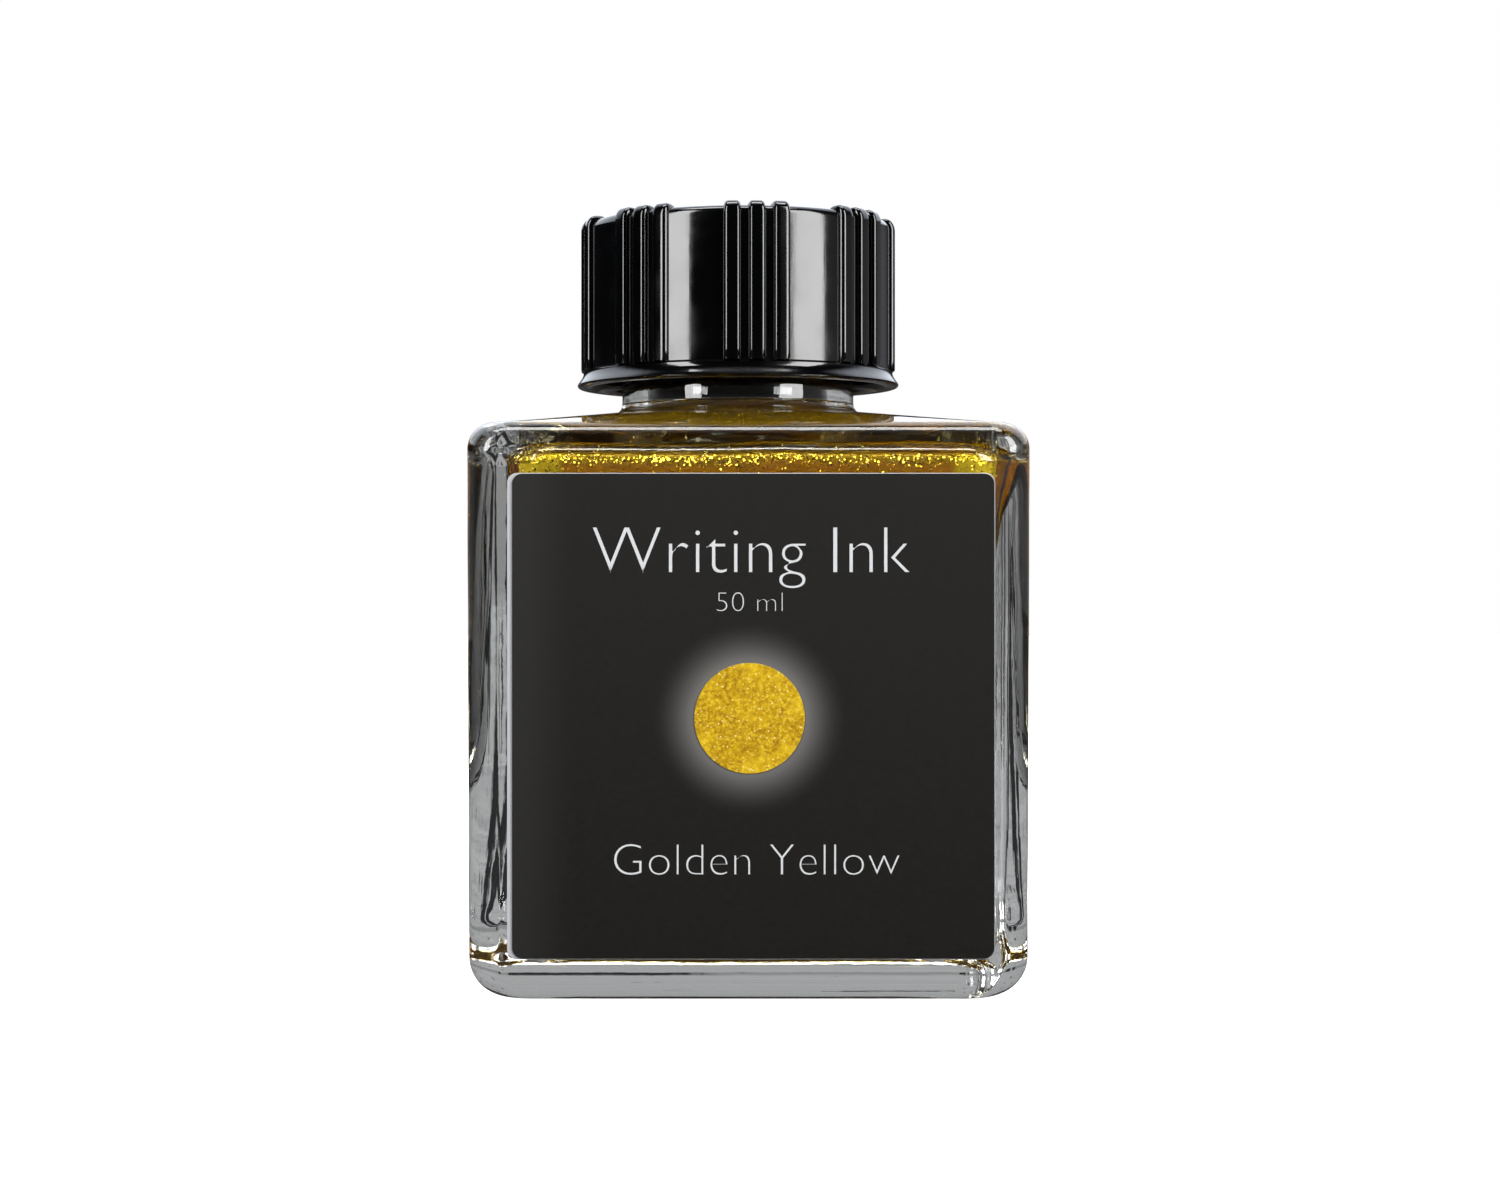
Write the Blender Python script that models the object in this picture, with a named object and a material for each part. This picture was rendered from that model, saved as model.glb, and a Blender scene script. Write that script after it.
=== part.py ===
"""A square clear-glass ink bottle with a ribbed screw cap, standing at rest with the cap screwed home.

Metres, +Z up, the label faces -Y, and the origin is the centre of the base.
"""

import math

import bmesh
import bpy

# Glass body
BODY_HALF_WIDTH = 0.02535
HEEL_HALF_WIDTH = 0.0252
BODY_CORNER_RADIUS = 0.0030
HEEL_RADIUS = 0.0040
HEEL_CORNER_LOSS = 0.25
HEEL_STEPS = 6
PUSH_UP_HALF_WIDTH = 0.0156
PUSH_UP_CORNER_RADIUS = 0.0045
PUSH_UP_EDGE = 0.0045
PUSH_UP_HEIGHT = 0.0009
PUSH_UP_STEPS = 2
SHOULDER_START_Z = 0.0497
SHOULDER_RADIUS = 0.0025
SHOULDER_SLOPE = math.radians(10.5)
SHOULDER_CORNER_LOSS = 0.2
SHOULDER_ROUNDING = 0.8
SHOULDER_STEPS = 5
CORNER_STEPS = 12

# Neck and finish
NECK_RADIUS = 0.0113
NECK_FILLET = 0.0012
NECK_FILLET_STEPS = 3
FINISH_START_Z = 0.05885
FINISH_ROOT_RADIUS = 0.0126
FINISH_TAPER_HEIGHT = 0.0012
RIM_Z = 0.07005
RIM_ROUND = 0.0005
BORE_RADIUS = 0.0088

# Cavity
CAVITY_TOP_HALF_WIDTH = 0.02265
CAVITY_LOW_HALF_WIDTH = 0.0200
CAVITY_CORNER_RADIUS = 0.0030
CAVITY_CORNER_SPREAD = 0.0005
CAVITY_CORNER_LOSS = 0.3
CAVITY_FLOOR_Z = 0.0178
CAVITY_FLOOR_RADIUS = 0.0070
CAVITY_SHOULDER_RADIUS = 0.0015
CAVITY_SHIFT = 0.0008
CAVITY_SHIFT_Z = (0.0520, 0.0502)
CAVITY_STEPS = 5
SHOULDER_GLASS = 0.0024
BORE_FLARE = 0.0022

# Ink
INK_LEVEL_Z = 0.0530
INK_GAP = 0.0003
LEAST_LEVEL_STEP = 0.0001

# Screw thread shared by the finish and the cap
THREAD_PITCH = 0.004233
THREAD_STEPS_PER_TURN = 48
GLASS_THREAD_TURNS = 1.3
GLASS_THREAD_START_Z = 0.06175
GLASS_THREAD_CREST_RADIUS = 0.0137
GLASS_THREAD_ROOT_HALF = 0.00115
GLASS_THREAD_CREST_HALF = 0.00055
CAP_THREAD_TURNS = 1.5
CAP_THREAD_CREST_RADIUS = 0.01305
CAP_THREAD_ROOT_HALF = 0.00085
CAP_THREAD_CREST_HALF = 0.00040
THREAD_BURY = 0.0004
THREAD_RUN_OUT = math.radians(40.0)
THREAD_END_WIDTH = 0.6
THREAD_END_HEIGHT = 0.05

# Cap
CAP_BOTTOM_Z = 0.05685
CAP_TOP_Z = 0.0729
CAP_WALL_RADIUS = 0.01485
CAP_BORE_RADIUS = 0.0140
CAP_CEILING_Z = 0.07155
CAP_INNER_FILLET = 0.0004
CAP_MOUTH_CHAMFER = (0.0004, 0.0007)
FLANGE_RADIUS = 0.0157
FLANGE_ROLL = 0.00028
FLANGE_NECK_RADIUS = 0.0151
FLANGE_TOP_Z = 0.05845
FLANGE_STEPS = 4
TOP_BEVEL = 0.0008
TOP_BEVEL_STEPS = 2
RIB_CLUSTERS = 8
RIBS_PER_CLUSTER = 3
RIB_PITCH = math.radians(9.0)
RIB_BASE_HALF = math.radians(3.3)
RIB_TOP_HALF = math.radians(2.5)
RIB_EDGE_HEIGHT = 0.85
RIB_HEIGHT = 0.0005
RIB_TOP_RISE = 0.00042
RIB_TOP_REACH = 0.6
RIB_FOOT_GAP = 0.0001
FRONT_RIB_ANGLE = math.radians(-90.0 + 4.55)
PLAIN_STEPS_BETWEEN_CLUSTERS = 3
CAP_AXIS_Z = 0.0645

# Liner under the cap's ceiling
LINER_RADIUS = 0.0136
LINER_BOARD_Z = (0.0706, 0.07145)
LINER_FILM_Z = (0.0703, 0.0705)
LINER_STEPS = 64

# Label stack on the front face
LABEL_GAP = 0.00004
PAPER_X = (-0.02165, 0.02187)
PAPER_Z = (0.00405, 0.04742)
PAPER_THICKNESS = 0.00012
BLACK_X = (-0.02120, 0.02177)
BLACK_Z = (0.00415, 0.04735)
BLACK_THICKNESS = 0.00008
LABEL_CORNER_RADIUS = 0.0009
LABEL_CORNER_STEPS = 6
SPOT_CENTRE = (-0.00005, 0.02555)
SPOT_RADIUS = 0.004925
SPOT_THICKNESS = 0.00005
SPOT_STEPS = 64

QUARTER = math.pi / 2


def clear_scene():
    """Removes every object of the startup scene."""
    for obj in list(bpy.data.objects):
        bpy.data.objects.remove(obj, do_unlink=True)


def material(name, colour, roughness, metallic=0.0, transmission=0.0):
    """A Principled material, seen in the viewport in the same colour."""
    made = bpy.data.materials.new(name)
    made.use_nodes = True
    shader = made.node_tree.nodes["Principled BSDF"]
    shader.inputs["Base Color"].default_value = (*colour, 1.0)
    shader.inputs["Roughness"].default_value = roughness
    shader.inputs["Metallic"].default_value = metallic
    shader.inputs["Transmission Weight"].default_value = transmission
    made.diffuse_color = (*colour, 1.0)
    return made


def add_object(name, points, faces, look=None):
    """Links a mesh object whose faces all point outwards."""
    mesh = bpy.data.meshes.new(name)
    mesh.from_pydata(points, [], faces)
    work = bmesh.new()
    work.from_mesh(mesh)
    bmesh.ops.recalc_face_normals(work, faces=work.faces[:])
    work.to_mesh(mesh)
    work.free()
    obj = bpy.data.objects.new(name, mesh)
    bpy.context.scene.collection.objects.link(obj)
    if look is not None:
        mesh.materials.append(look)
    return obj


def shade(obj, degrees=35.0):
    """Smooth shading with the edges sharper than this many degrees kept crisp."""
    obj.data.shade_smooth()
    obj.data.set_sharp_from_angle(angle=math.radians(degrees))


def mix(first, second, share):
    return first + (second - first) * share


def loft(name, rings, look=None):
    """Skins rings of equal point count, each joined to the next, and closes the two ends."""
    count = len(rings[0])
    points = [point for ring in rings for point in ring]
    faces = [list(range(count))]
    for level in range(len(rings) - 1):
        low = level * count
        high = low + count
        for step in range(count):
            after = (step + 1) % count
            faces.append((low + step, low + after, high + after, high + step))
    last = (len(rings) - 1) * count
    faces.append([last + step for step in reversed(range(count))])
    return add_object(name, points, faces, look)


def rounded_square(half_width, corner_radius, height):
    """Points of a square with round corners, or of a circle where the radius equals the half width."""
    squareness = min(1.0, 3.0 * (1.0 - corner_radius / half_width))
    offset = half_width - corner_radius
    points = []
    for corner in range(4):
        side_x = (1, -1, -1, 1)[corner]
        side_y = (1, 1, -1, -1)[corner]
        for step in range(CORNER_STEPS):
            even = (step + 0.5) / CORNER_STEPS
            full = step / (CORNER_STEPS - 1)
            angle = QUARTER * (corner + mix(even, full, squareness))
            x = side_x * offset + corner_radius * math.cos(angle)
            y = side_y * offset + corner_radius * math.sin(angle)
            points.append((x, y, height))
    return points


def outer_shoulder_z(half_width):
    """Height of the sloping shoulder's outer face at this half width."""
    start = BODY_HALF_WIDTH - SHOULDER_RADIUS * (1.0 - math.sin(SHOULDER_SLOPE))
    start_z = SHOULDER_START_Z + SHOULDER_RADIUS * math.cos(SHOULDER_SLOPE)
    return start_z + (start - half_width) * math.tan(SHOULDER_SLOPE)


def base_levels():
    """Push-up under the base, the flat it stands on, and the rounded heel."""
    levels = []
    for step in range(PUSH_UP_STEPS + 1):
        share = 1.0 - step / PUSH_UP_STEPS
        width = PUSH_UP_HALF_WIDTH - PUSH_UP_EDGE * share
        levels.append((width, PUSH_UP_CORNER_RADIUS, PUSH_UP_HEIGHT * math.sin(QUARTER * share)))
    for step in range(HEEL_STEPS + 1):
        angle = QUARTER * step / HEEL_STEPS
        inset = HEEL_RADIUS * (1.0 - math.sin(angle))
        height = HEEL_RADIUS * (1.0 - math.cos(angle))
        levels.append((HEEL_HALF_WIDTH - inset, BODY_CORNER_RADIUS - HEEL_CORNER_LOSS * inset, height))
    return levels


def shoulder_levels():
    """Straight side, rounded shoulder edge and the slope that turns from square to round at the neck."""
    levels = [(BODY_HALF_WIDTH, BODY_CORNER_RADIUS, SHOULDER_START_Z)]
    for step in range(1, SHOULDER_STEPS + 1):
        angle = (QUARTER - SHOULDER_SLOPE) * step / SHOULDER_STEPS
        inset = SHOULDER_RADIUS * (1.0 - math.cos(angle))
        height = SHOULDER_START_Z + SHOULDER_RADIUS * math.sin(angle)
        levels.append((BODY_HALF_WIDTH - inset, BODY_CORNER_RADIUS - SHOULDER_CORNER_LOSS * inset, height))
    edge_width, edge_corner, _ = levels[-1]
    root_width = NECK_RADIUS + NECK_FILLET
    for step in range(1, SHOULDER_STEPS + 1):
        share = step / SHOULDER_STEPS
        width = mix(edge_width, root_width, share)
        corner = mix(edge_corner, root_width, share ** SHOULDER_ROUNDING)
        levels.append((width, min(corner, width), outer_shoulder_z(width)))
    return levels


def neck_levels():
    """Fillet, neck, finish wall, rolled rim and the bore down to the shoulder, all round."""
    root_z = outer_shoulder_z(NECK_RADIUS + NECK_FILLET)
    round_levels = []
    for step in range(1, NECK_FILLET_STEPS + 1):
        angle = QUARTER * step / NECK_FILLET_STEPS
        radius = NECK_RADIUS + NECK_FILLET * (1.0 - math.sin(angle))
        round_levels.append((radius, root_z + NECK_FILLET * (1.0 - math.cos(angle))))
    round_levels += [
        (NECK_RADIUS, FINISH_START_Z),
        (FINISH_ROOT_RADIUS, FINISH_START_Z + FINISH_TAPER_HEIGHT),
    ]
    for centre, turn in ((FINISH_ROOT_RADIUS - RIM_ROUND, 0.0), (BORE_RADIUS + RIM_ROUND, QUARTER)):
        for step in range(3):
            angle = turn + QUARTER * step / 2
            radius = centre + RIM_ROUND * math.cos(angle)
            round_levels.append((radius, RIM_Z - RIM_ROUND + RIM_ROUND * math.sin(angle)))
    return [(radius, radius, height) for radius, height in round_levels]


def cavity_levels(inset):
    """The cavity from the flare under the bore down to its floor, pulled in from the glass by inset."""
    top_width = CAVITY_TOP_HALF_WIDTH - inset
    low_width = CAVITY_LOW_HALF_WIDTH - inset
    corner = CAVITY_CORNER_RADIUS - inset
    radius = CAVITY_SHOULDER_RADIUS - inset
    slope_end = top_width - radius * (1.0 - math.sin(SHOULDER_SLOPE))
    slope_end_z = outer_shoulder_z(slope_end) - SHOULDER_GLASS - inset
    centre_z = slope_end_z - radius * math.cos(SHOULDER_SLOPE)
    start = BORE_RADIUS + BORE_FLARE
    flare_z = outer_shoulder_z(start) - SHOULDER_GLASS
    levels = []
    for step in range(CAVITY_STEPS):
        angle = (QUARTER - SHOULDER_SLOPE) * step / CAVITY_STEPS
        radius_here = start - (BORE_FLARE + inset) * math.cos(angle)
        height = flare_z + BORE_FLARE - (BORE_FLARE + inset) * math.sin(angle)
        levels.append((radius_here, radius_here, height))
    for step in range(CAVITY_STEPS):
        share = step / CAVITY_STEPS
        width = mix(start, slope_end, share)
        top_corner = mix(start, corner + CAVITY_CORNER_SPREAD, share)
        levels.append((width, min(top_corner, width), outer_shoulder_z(width) - SHOULDER_GLASS - inset))
    for step in range(CAVITY_STEPS + 1):
        left = 1.0 - step / CAVITY_STEPS
        angle = (QUARTER - SHOULDER_SLOPE) * left
        width = top_width - radius * (1.0 - math.cos(angle))
        extra = CAVITY_CORNER_SPREAD * left
        levels.append((width, corner + extra, centre_z + radius * math.sin(angle)))
    floor_z = CAVITY_FLOOR_Z + inset
    floor_radius = CAVITY_FLOOR_RADIUS - inset
    for step in range(CAVITY_STEPS + 1):
        angle = QUARTER * step / CAVITY_STEPS
        loss = floor_radius * (1.0 - math.cos(angle))
        height = floor_z + floor_radius * (1.0 - math.sin(angle))
        levels.append((low_width - loss, corner - CAVITY_CORNER_LOSS * loss, height))
    return levels


def cavity_ring(half_width, corner_radius, height):
    """A ring of the cavity, which stands a little to the right of the glass below the neck."""
    start_z, end_z = CAVITY_SHIFT_Z
    share = min(1.0, max(0.0, (start_z - height) / (start_z - end_z)))
    ring = rounded_square(half_width, corner_radius, height)
    return [(x + CAVITY_SHIFT * share, y, z) for x, y, z in ring]


def thread_ridge(name, root_radius, crest_radius, root_half, crest_half, start_z, turns):
    """A right-hand helical ridge whose height runs out to nothing at both ends."""
    steps = round(turns * THREAD_STEPS_PER_TURN)
    rings = []
    for step in range(steps + 1):
        turned = 2.0 * math.pi * turns * step / steps
        left = 2.0 * math.pi * turns - turned
        grown = math.sin(QUARTER * min(1.0, turned / THREAD_RUN_OUT, left / THREAD_RUN_OUT))
        crest = mix(root_radius, crest_radius, max(grown, THREAD_END_HEIGHT))
        half = mix(root_half * THREAD_END_WIDTH, root_half, grown)
        tip_half = mix(crest_half * THREAD_END_WIDTH, crest_half, grown)
        height = start_z + THREAD_PITCH * turned / (2.0 * math.pi)
        profile = [
            (root_radius, height - half),
            (crest, height - tip_half),
            (crest, height + tip_half),
            (root_radius, height + half),
        ]
        ring = []
        for radius, z in profile:
            ring.append((radius * math.cos(turned), radius * math.sin(turned), z))
        rings.append(ring)
    return loft(name, rings)


def join(obj, other):
    """Unites two closed meshes into one by an exact Boolean and removes the second object."""
    union = obj.modifiers.new("union", "BOOLEAN")
    union.operation = "UNION"
    union.solver = "EXACT"
    union.object = other
    graph = bpy.context.evaluated_depsgraph_get()
    united = bpy.data.meshes.new_from_object(obj.evaluated_get(graph))
    obj.modifiers.clear()
    obj.data = united
    bpy.data.objects.remove(other, do_unlink=True)


def glass_bottle(look):
    """Body, neck, threaded finish, bore and cavity in one piece of glass."""
    levels = base_levels() + shoulder_levels() + neck_levels()
    rings = [rounded_square(*level) for level in levels]
    rings += [cavity_ring(*level) for level in cavity_levels(0.0)]
    bottle = loft("glass_bottle", rings, look)
    ridge = thread_ridge(
        "finish_thread",
        FINISH_ROOT_RADIUS - THREAD_BURY,
        GLASS_THREAD_CREST_RADIUS,
        GLASS_THREAD_ROOT_HALF,
        GLASS_THREAD_CREST_HALF,
        GLASS_THREAD_START_Z,
        GLASS_THREAD_TURNS,
    )
    join(bottle, ridge)
    shade(bottle)
    return bottle


def ink_fill(look):
    """Ink standing in the cavity up to its flat surface."""
    levels = cavity_levels(INK_GAP)
    below = [level for level in levels if level[2] < INK_LEVEL_Z - LEAST_LEVEL_STEP]
    above = levels[: len(levels) - len(below)]
    high, low = above[-1], below[0]
    share = (high[2] - INK_LEVEL_Z) / (high[2] - low[2])
    surface = (mix(high[0], low[0], share), mix(high[1], low[1], share), INK_LEVEL_Z)
    rings = [cavity_ring(*level) for level in [surface, *below]]
    ink = loft("ink_fill", rings, look)
    shade(ink)
    return ink


def rib_ring_angles():
    """(angle, share of the rib's height) at every point round the cap's grip."""
    angles = []
    sector = 2.0 * math.pi / RIB_CLUSTERS
    first = -(RIBS_PER_CLUSTER - 1) / 2
    plain_start = -first * RIB_PITCH + RIB_BASE_HALF
    plain_end = sector + first * RIB_PITCH - RIB_BASE_HALF
    for cluster in range(RIB_CLUSTERS):
        middle = FRONT_RIB_ANGLE + sector * cluster
        for rib in range(RIBS_PER_CLUSTER):
            centre = middle + (first + rib) * RIB_PITCH
            angles += [
                (centre - RIB_BASE_HALF, 0.0),
                (centre - RIB_TOP_HALF, RIB_EDGE_HEIGHT),
                (centre, 1.0),
                (centre + RIB_TOP_HALF, RIB_EDGE_HEIGHT),
                (centre + RIB_BASE_HALF, 0.0),
            ]
        for step in range(1, PLAIN_STEPS_BETWEEN_CLUSTERS):
            angles.append((middle + mix(plain_start, plain_end, step / PLAIN_STEPS_BETWEEN_CLUSTERS), 0.0))
    return angles


def cap_ring(angles, radius, height, rib_out=0.0, rib_up=0.0):
    """One ring round the cap, standing out or up by the given amounts at the ribs."""
    points = []
    for angle, share in angles:
        reach = radius + rib_out * share
        points.append((reach * math.cos(angle), reach * math.sin(angle), height + rib_up * share))
    return points


def cap_profile():
    """(radius, height, rib reach out, rib reach up) from the ceiling down the bore and up the outside."""
    mouth_run, mouth_rise = CAP_MOUTH_CHAMFER
    profile = [
        (CAP_BORE_RADIUS - CAP_INNER_FILLET, CAP_CEILING_Z, 0.0, 0.0),
        (CAP_BORE_RADIUS, CAP_CEILING_Z - CAP_INNER_FILLET, 0.0, 0.0),
        (CAP_BORE_RADIUS, CAP_BOTTOM_Z + mouth_rise, 0.0, 0.0),
        (CAP_BORE_RADIUS + mouth_run, CAP_BOTTOM_Z, 0.0, 0.0),
        (FLANGE_RADIUS - FLANGE_ROLL, CAP_BOTTOM_Z, 0.0, 0.0),
    ]
    lip_z = CAP_BOTTOM_Z + FLANGE_ROLL
    for step in range(FLANGE_STEPS + 1):
        share = step / FLANGE_STEPS
        radius = mix(FLANGE_RADIUS, FLANGE_NECK_RADIUS, math.sin(QUARTER * share))
        profile.append((radius, mix(lip_z, FLANGE_TOP_Z, share), 0.0, 0.0))
    profile.append((CAP_WALL_RADIUS, FLANGE_TOP_Z + RIB_FOOT_GAP, RIB_HEIGHT, 0.0))
    bevel_start = CAP_TOP_Z - TOP_BEVEL
    for step in range(TOP_BEVEL_STEPS + 1):
        angle = QUARTER * step / TOP_BEVEL_STEPS
        radius = CAP_WALL_RADIUS - TOP_BEVEL * (1.0 - math.cos(angle))
        reach = RIB_HEIGHT * math.cos(RIB_TOP_REACH * angle)
        profile.append((radius, bevel_start + TOP_BEVEL * math.sin(angle), reach, RIB_TOP_RISE * math.sin(angle)))
    profile.append((CAP_WALL_RADIUS - 2.0 * TOP_BEVEL, CAP_TOP_Z, 0.0, 0.0))
    return profile


def screw_cap(look):
    """Ribbed skirt on a flared flange, bevelled top, and a threaded bore."""
    angles = rib_ring_angles()
    rings = [cap_ring(angles, *level) for level in cap_profile()]
    cap = loft("screw_cap", rings, look)
    ridge = thread_ridge(
        "cap_thread",
        CAP_BORE_RADIUS + THREAD_BURY,
        CAP_THREAD_CREST_RADIUS,
        CAP_THREAD_ROOT_HALF,
        CAP_THREAD_CREST_HALF,
        GLASS_THREAD_START_Z - THREAD_PITCH / 2,
        CAP_THREAD_TURNS,
    )
    join(cap, ridge)
    shade(cap, 30.0)
    return cap


def disc(name, look, radius, z_range):
    """A flat round disc between two heights."""
    rings = []
    for height in z_range:
        ring = []
        for step in range(LINER_STEPS):
            angle = 2.0 * math.pi * step / LINER_STEPS
            ring.append((radius * math.cos(angle), radius * math.sin(angle), height))
        rings.append(ring)
    made = loft(name, rings, look)
    shade(made)
    return made


def plate(name, look, outline, back_y, thickness):
    """An upright sheet on the front face, its outline given in X and Z."""
    rings = [[(x, y, z) for x, z in outline] for y in (back_y, back_y - thickness)]
    return loft(name, rings, look)


def rounded_outline(x_range, z_range, radius):
    """A rectangle with round corners, anticlockwise in X and Z."""
    points = []
    for corner in range(4):
        centre_x = x_range[1] - radius if corner in (0, 3) else x_range[0] + radius
        centre_z = z_range[1] - radius if corner in (0, 1) else z_range[0] + radius
        for step in range(LABEL_CORNER_STEPS + 1):
            angle = QUARTER * (corner + step / LABEL_CORNER_STEPS)
            points.append((centre_x + radius * math.cos(angle), centre_z + radius * math.sin(angle)))
    return points


def round_outline(centre, radius, steps):
    points = []
    for step in range(steps):
        angle = 2.0 * math.pi * step / steps
        points.append((centre[0] + radius * math.cos(angle), centre[1] + radius * math.sin(angle)))
    return points


def label_stack():
    """White paper, its black printed face and the gold spot, each just clear of the one behind."""
    paper = material("white_paper", (0.86, 0.86, 0.84), 0.7)
    black = material("black_print", (0.035, 0.035, 0.037), 0.55)
    gold = material("gold_foil", (0.76, 0.48, 0.04), 0.35, metallic=0.6)
    back = -BODY_HALF_WIDTH - LABEL_GAP
    plate("label_paper", paper, rounded_outline(PAPER_X, PAPER_Z, LABEL_CORNER_RADIUS), back, PAPER_THICKNESS)
    back -= PAPER_THICKNESS + LABEL_GAP
    plate("label_black_face", black, rounded_outline(BLACK_X, BLACK_Z, LABEL_CORNER_RADIUS), back, BLACK_THICKNESS)
    back -= BLACK_THICKNESS + LABEL_GAP
    plate("gold_colour_spot", gold, round_outline(SPOT_CENTRE, SPOT_RADIUS, SPOT_STEPS), back, SPOT_THICKNESS)


def axis_empty(name, parent=None):
    """An empty on the cap's axis, which the pieces that move along or round it hang from."""
    empty = bpy.data.objects.new(name, None)
    empty.location.z = 0.0 if parent else CAP_AXIS_Z
    empty.parent = parent
    bpy.context.scene.collection.objects.link(empty)
    return empty


def hang(obj, empty):
    """Parents an object to an empty and leaves it where it is."""
    bpy.context.view_layer.update()
    obj.parent = empty
    obj.matrix_parent_inverse = empty.matrix_world.inverted()


def main():
    clear_scene()
    lift_axis = axis_empty("cap_lift_axis")
    turn_axis = axis_empty("cap_turn_axis", lift_axis)
    glass_bottle(material("clear_glass", (0.95, 0.97, 0.97), 0.02, transmission=1.0))
    ink_fill(material("amber_ink", (0.55, 0.30, 0.03), 0.02, transmission=0.8))
    hang(screw_cap(material("black_plastic", (0.012, 0.012, 0.014), 0.12)), turn_axis)
    board = material("pulp_board", (0.55, 0.48, 0.38), 0.85)
    hang(disc("liner_board", board, LINER_RADIUS, LINER_BOARD_Z), lift_axis)
    film = material("white_film", (0.88, 0.88, 0.86), 0.3)
    hang(disc("liner_film", film, LINER_RADIUS, LINER_FILM_Z), lift_axis)
    label_stack()


main()
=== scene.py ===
"""Looks and studio for a square glass ink bottle with a ribbed screw cap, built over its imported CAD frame."""

import math
import random

import bpy
import numpy as np
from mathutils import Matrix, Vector, noise


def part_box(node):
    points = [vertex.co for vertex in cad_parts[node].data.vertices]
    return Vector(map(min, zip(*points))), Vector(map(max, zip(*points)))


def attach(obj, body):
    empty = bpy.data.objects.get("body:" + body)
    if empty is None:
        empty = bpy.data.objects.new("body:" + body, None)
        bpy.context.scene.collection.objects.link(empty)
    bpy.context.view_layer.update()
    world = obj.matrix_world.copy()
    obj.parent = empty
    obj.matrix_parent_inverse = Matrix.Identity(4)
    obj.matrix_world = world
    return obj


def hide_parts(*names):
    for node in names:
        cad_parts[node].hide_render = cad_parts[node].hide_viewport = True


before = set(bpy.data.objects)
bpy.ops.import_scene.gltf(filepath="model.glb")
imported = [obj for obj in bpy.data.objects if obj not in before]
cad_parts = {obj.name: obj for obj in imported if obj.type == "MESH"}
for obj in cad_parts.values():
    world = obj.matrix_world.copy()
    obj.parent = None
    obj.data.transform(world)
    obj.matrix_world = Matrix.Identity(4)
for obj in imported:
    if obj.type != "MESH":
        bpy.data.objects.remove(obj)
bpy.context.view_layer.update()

QUARTER = math.pi / 2

# Driving sizes, in metres, read from the frame
GLASS_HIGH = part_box("glass_bottle")[1]
CAP_LOW, CAP_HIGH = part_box("screw_cap")
BLACK_LOW, BLACK_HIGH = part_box("label_black_face")
SPOT_LOW, SPOT_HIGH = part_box("gold_colour_spot")
BODY_HALF_WIDTH = GLASS_HIGH[0]
RIM_Z = GLASS_HIGH[2]
INK_LEVEL_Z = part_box("ink_fill")[1][2]
CAP_BOTTOM_Z = CAP_LOW[2]
CAP_OUTER_Z = CAP_HIGH[2]

# Glass body
HEEL_HALF_WIDTH = BODY_HALF_WIDTH - 0.00015
BODY_CORNER_RADIUS = 0.0030
HEEL_RADIUS = 0.0040
HEEL_CORNER_LOSS = 0.25
PUSH_UP_HALF_WIDTH = 0.0156
PUSH_UP_CORNER_RADIUS = 0.0045
PUSH_UP_EDGE = 0.0045
PUSH_UP_HEIGHT = 0.0009
SHOULDER_START_Z = 0.0497
SHOULDER_RADIUS = 0.0025
SHOULDER_SLOPE = math.radians(10.5)

# Neck and finish
NECK_RADIUS = 0.0113
NECK_FILLET = 0.0012
FINISH_START_Z = RIM_Z - 0.0112
FINISH_ROOT_RADIUS = 0.0126
FINISH_TAPER_HEIGHT = 0.0012
RIM_ROUND = 0.0005
BORE_RADIUS = 0.0088

# Cavity
CAVITY_TOP_HALF_WIDTH = BODY_HALF_WIDTH - 0.0027
CAVITY_LOW_HALF_WIDTH = BODY_HALF_WIDTH - 0.00535
CAVITY_CORNER_RADIUS = 0.0030
CAVITY_CORNER_SPREAD = 0.0005
CAVITY_FLOOR_Z = 0.0178
CAVITY_FLOOR_RADIUS = 0.0070
CAVITY_SHOULDER_RADIUS = 0.0015
CAVITY_SHIFT = 0.0008
CAVITY_SHIFT_Z = (0.0520, 0.0502)
SHOULDER_GLASS = 0.0024
BORE_FLARE = 0.0022

# Slight unevenness of the moulded glass
OUTER_RIPPLE = {"scale": 160.0, "amplitude": 0.000035, "offset": (3.1, 7.7, 1.9)}
CAVITY_RIPPLES = (
    {"scale": 110.0, "amplitude": 0.00016, "offset": (9.4, 2.2, 5.3)},
    {"scale": 420.0, "amplitude": 0.00003, "offset": (1.4, 8.2, 6.3)},
)
RIPPLE_TOP_Z = 0.0535
RIPPLE_FADE = 0.003
RIPPLE_BASE_FADE = 0.004

# Ink and its shimmer pigment
INK_OVERLAP = 0.00003
INK_SURFACE_DROP = 0.0003
MENISCUS = ((0.3, 0.0), (0.7, 0.0), (0.9, 0.00003), (0.97, 0.00014))
CLOUD_INSET = 0.0007
CLOUD_DRIFT = 0.0016
AMBER_Z = (0.0410, 0.0470)
OLIVE_Z = (0.0488, 0.0497)
FACET_Z = (0.0488, 0.0496)
FACET_SCALE = 7600.0
FACET_LEAN = 1.1
# Painted highlight on the pigment's upper corners: the height range where it shows and its reach out from the
# middle
CORNER_PAINTED_HIGHLIGHT_Z = (0.0440, 0.0475)
CORNER_PAINTED_HIGHLIGHT_REACH = (0.0172, 0.0184)
FLAKE_COUNT = 12000
FLAKE_TOP_MARGIN = 0.001
FLAKE_BAND_Z = (0.0484, 0.0512)
FLAKE_BAND_SHARE = 0.45
FLAKE_DEPTH = 0.00008
FLAKE_DEPTH_SPREAD = 0.0006
FLAKE_SCATTER = 0.00012
FLAKE_TILT = 0.45
FLAKE_SIZE = (0.00003, 0.00007)
FLAKE_THICKNESS = 0.12

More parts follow.
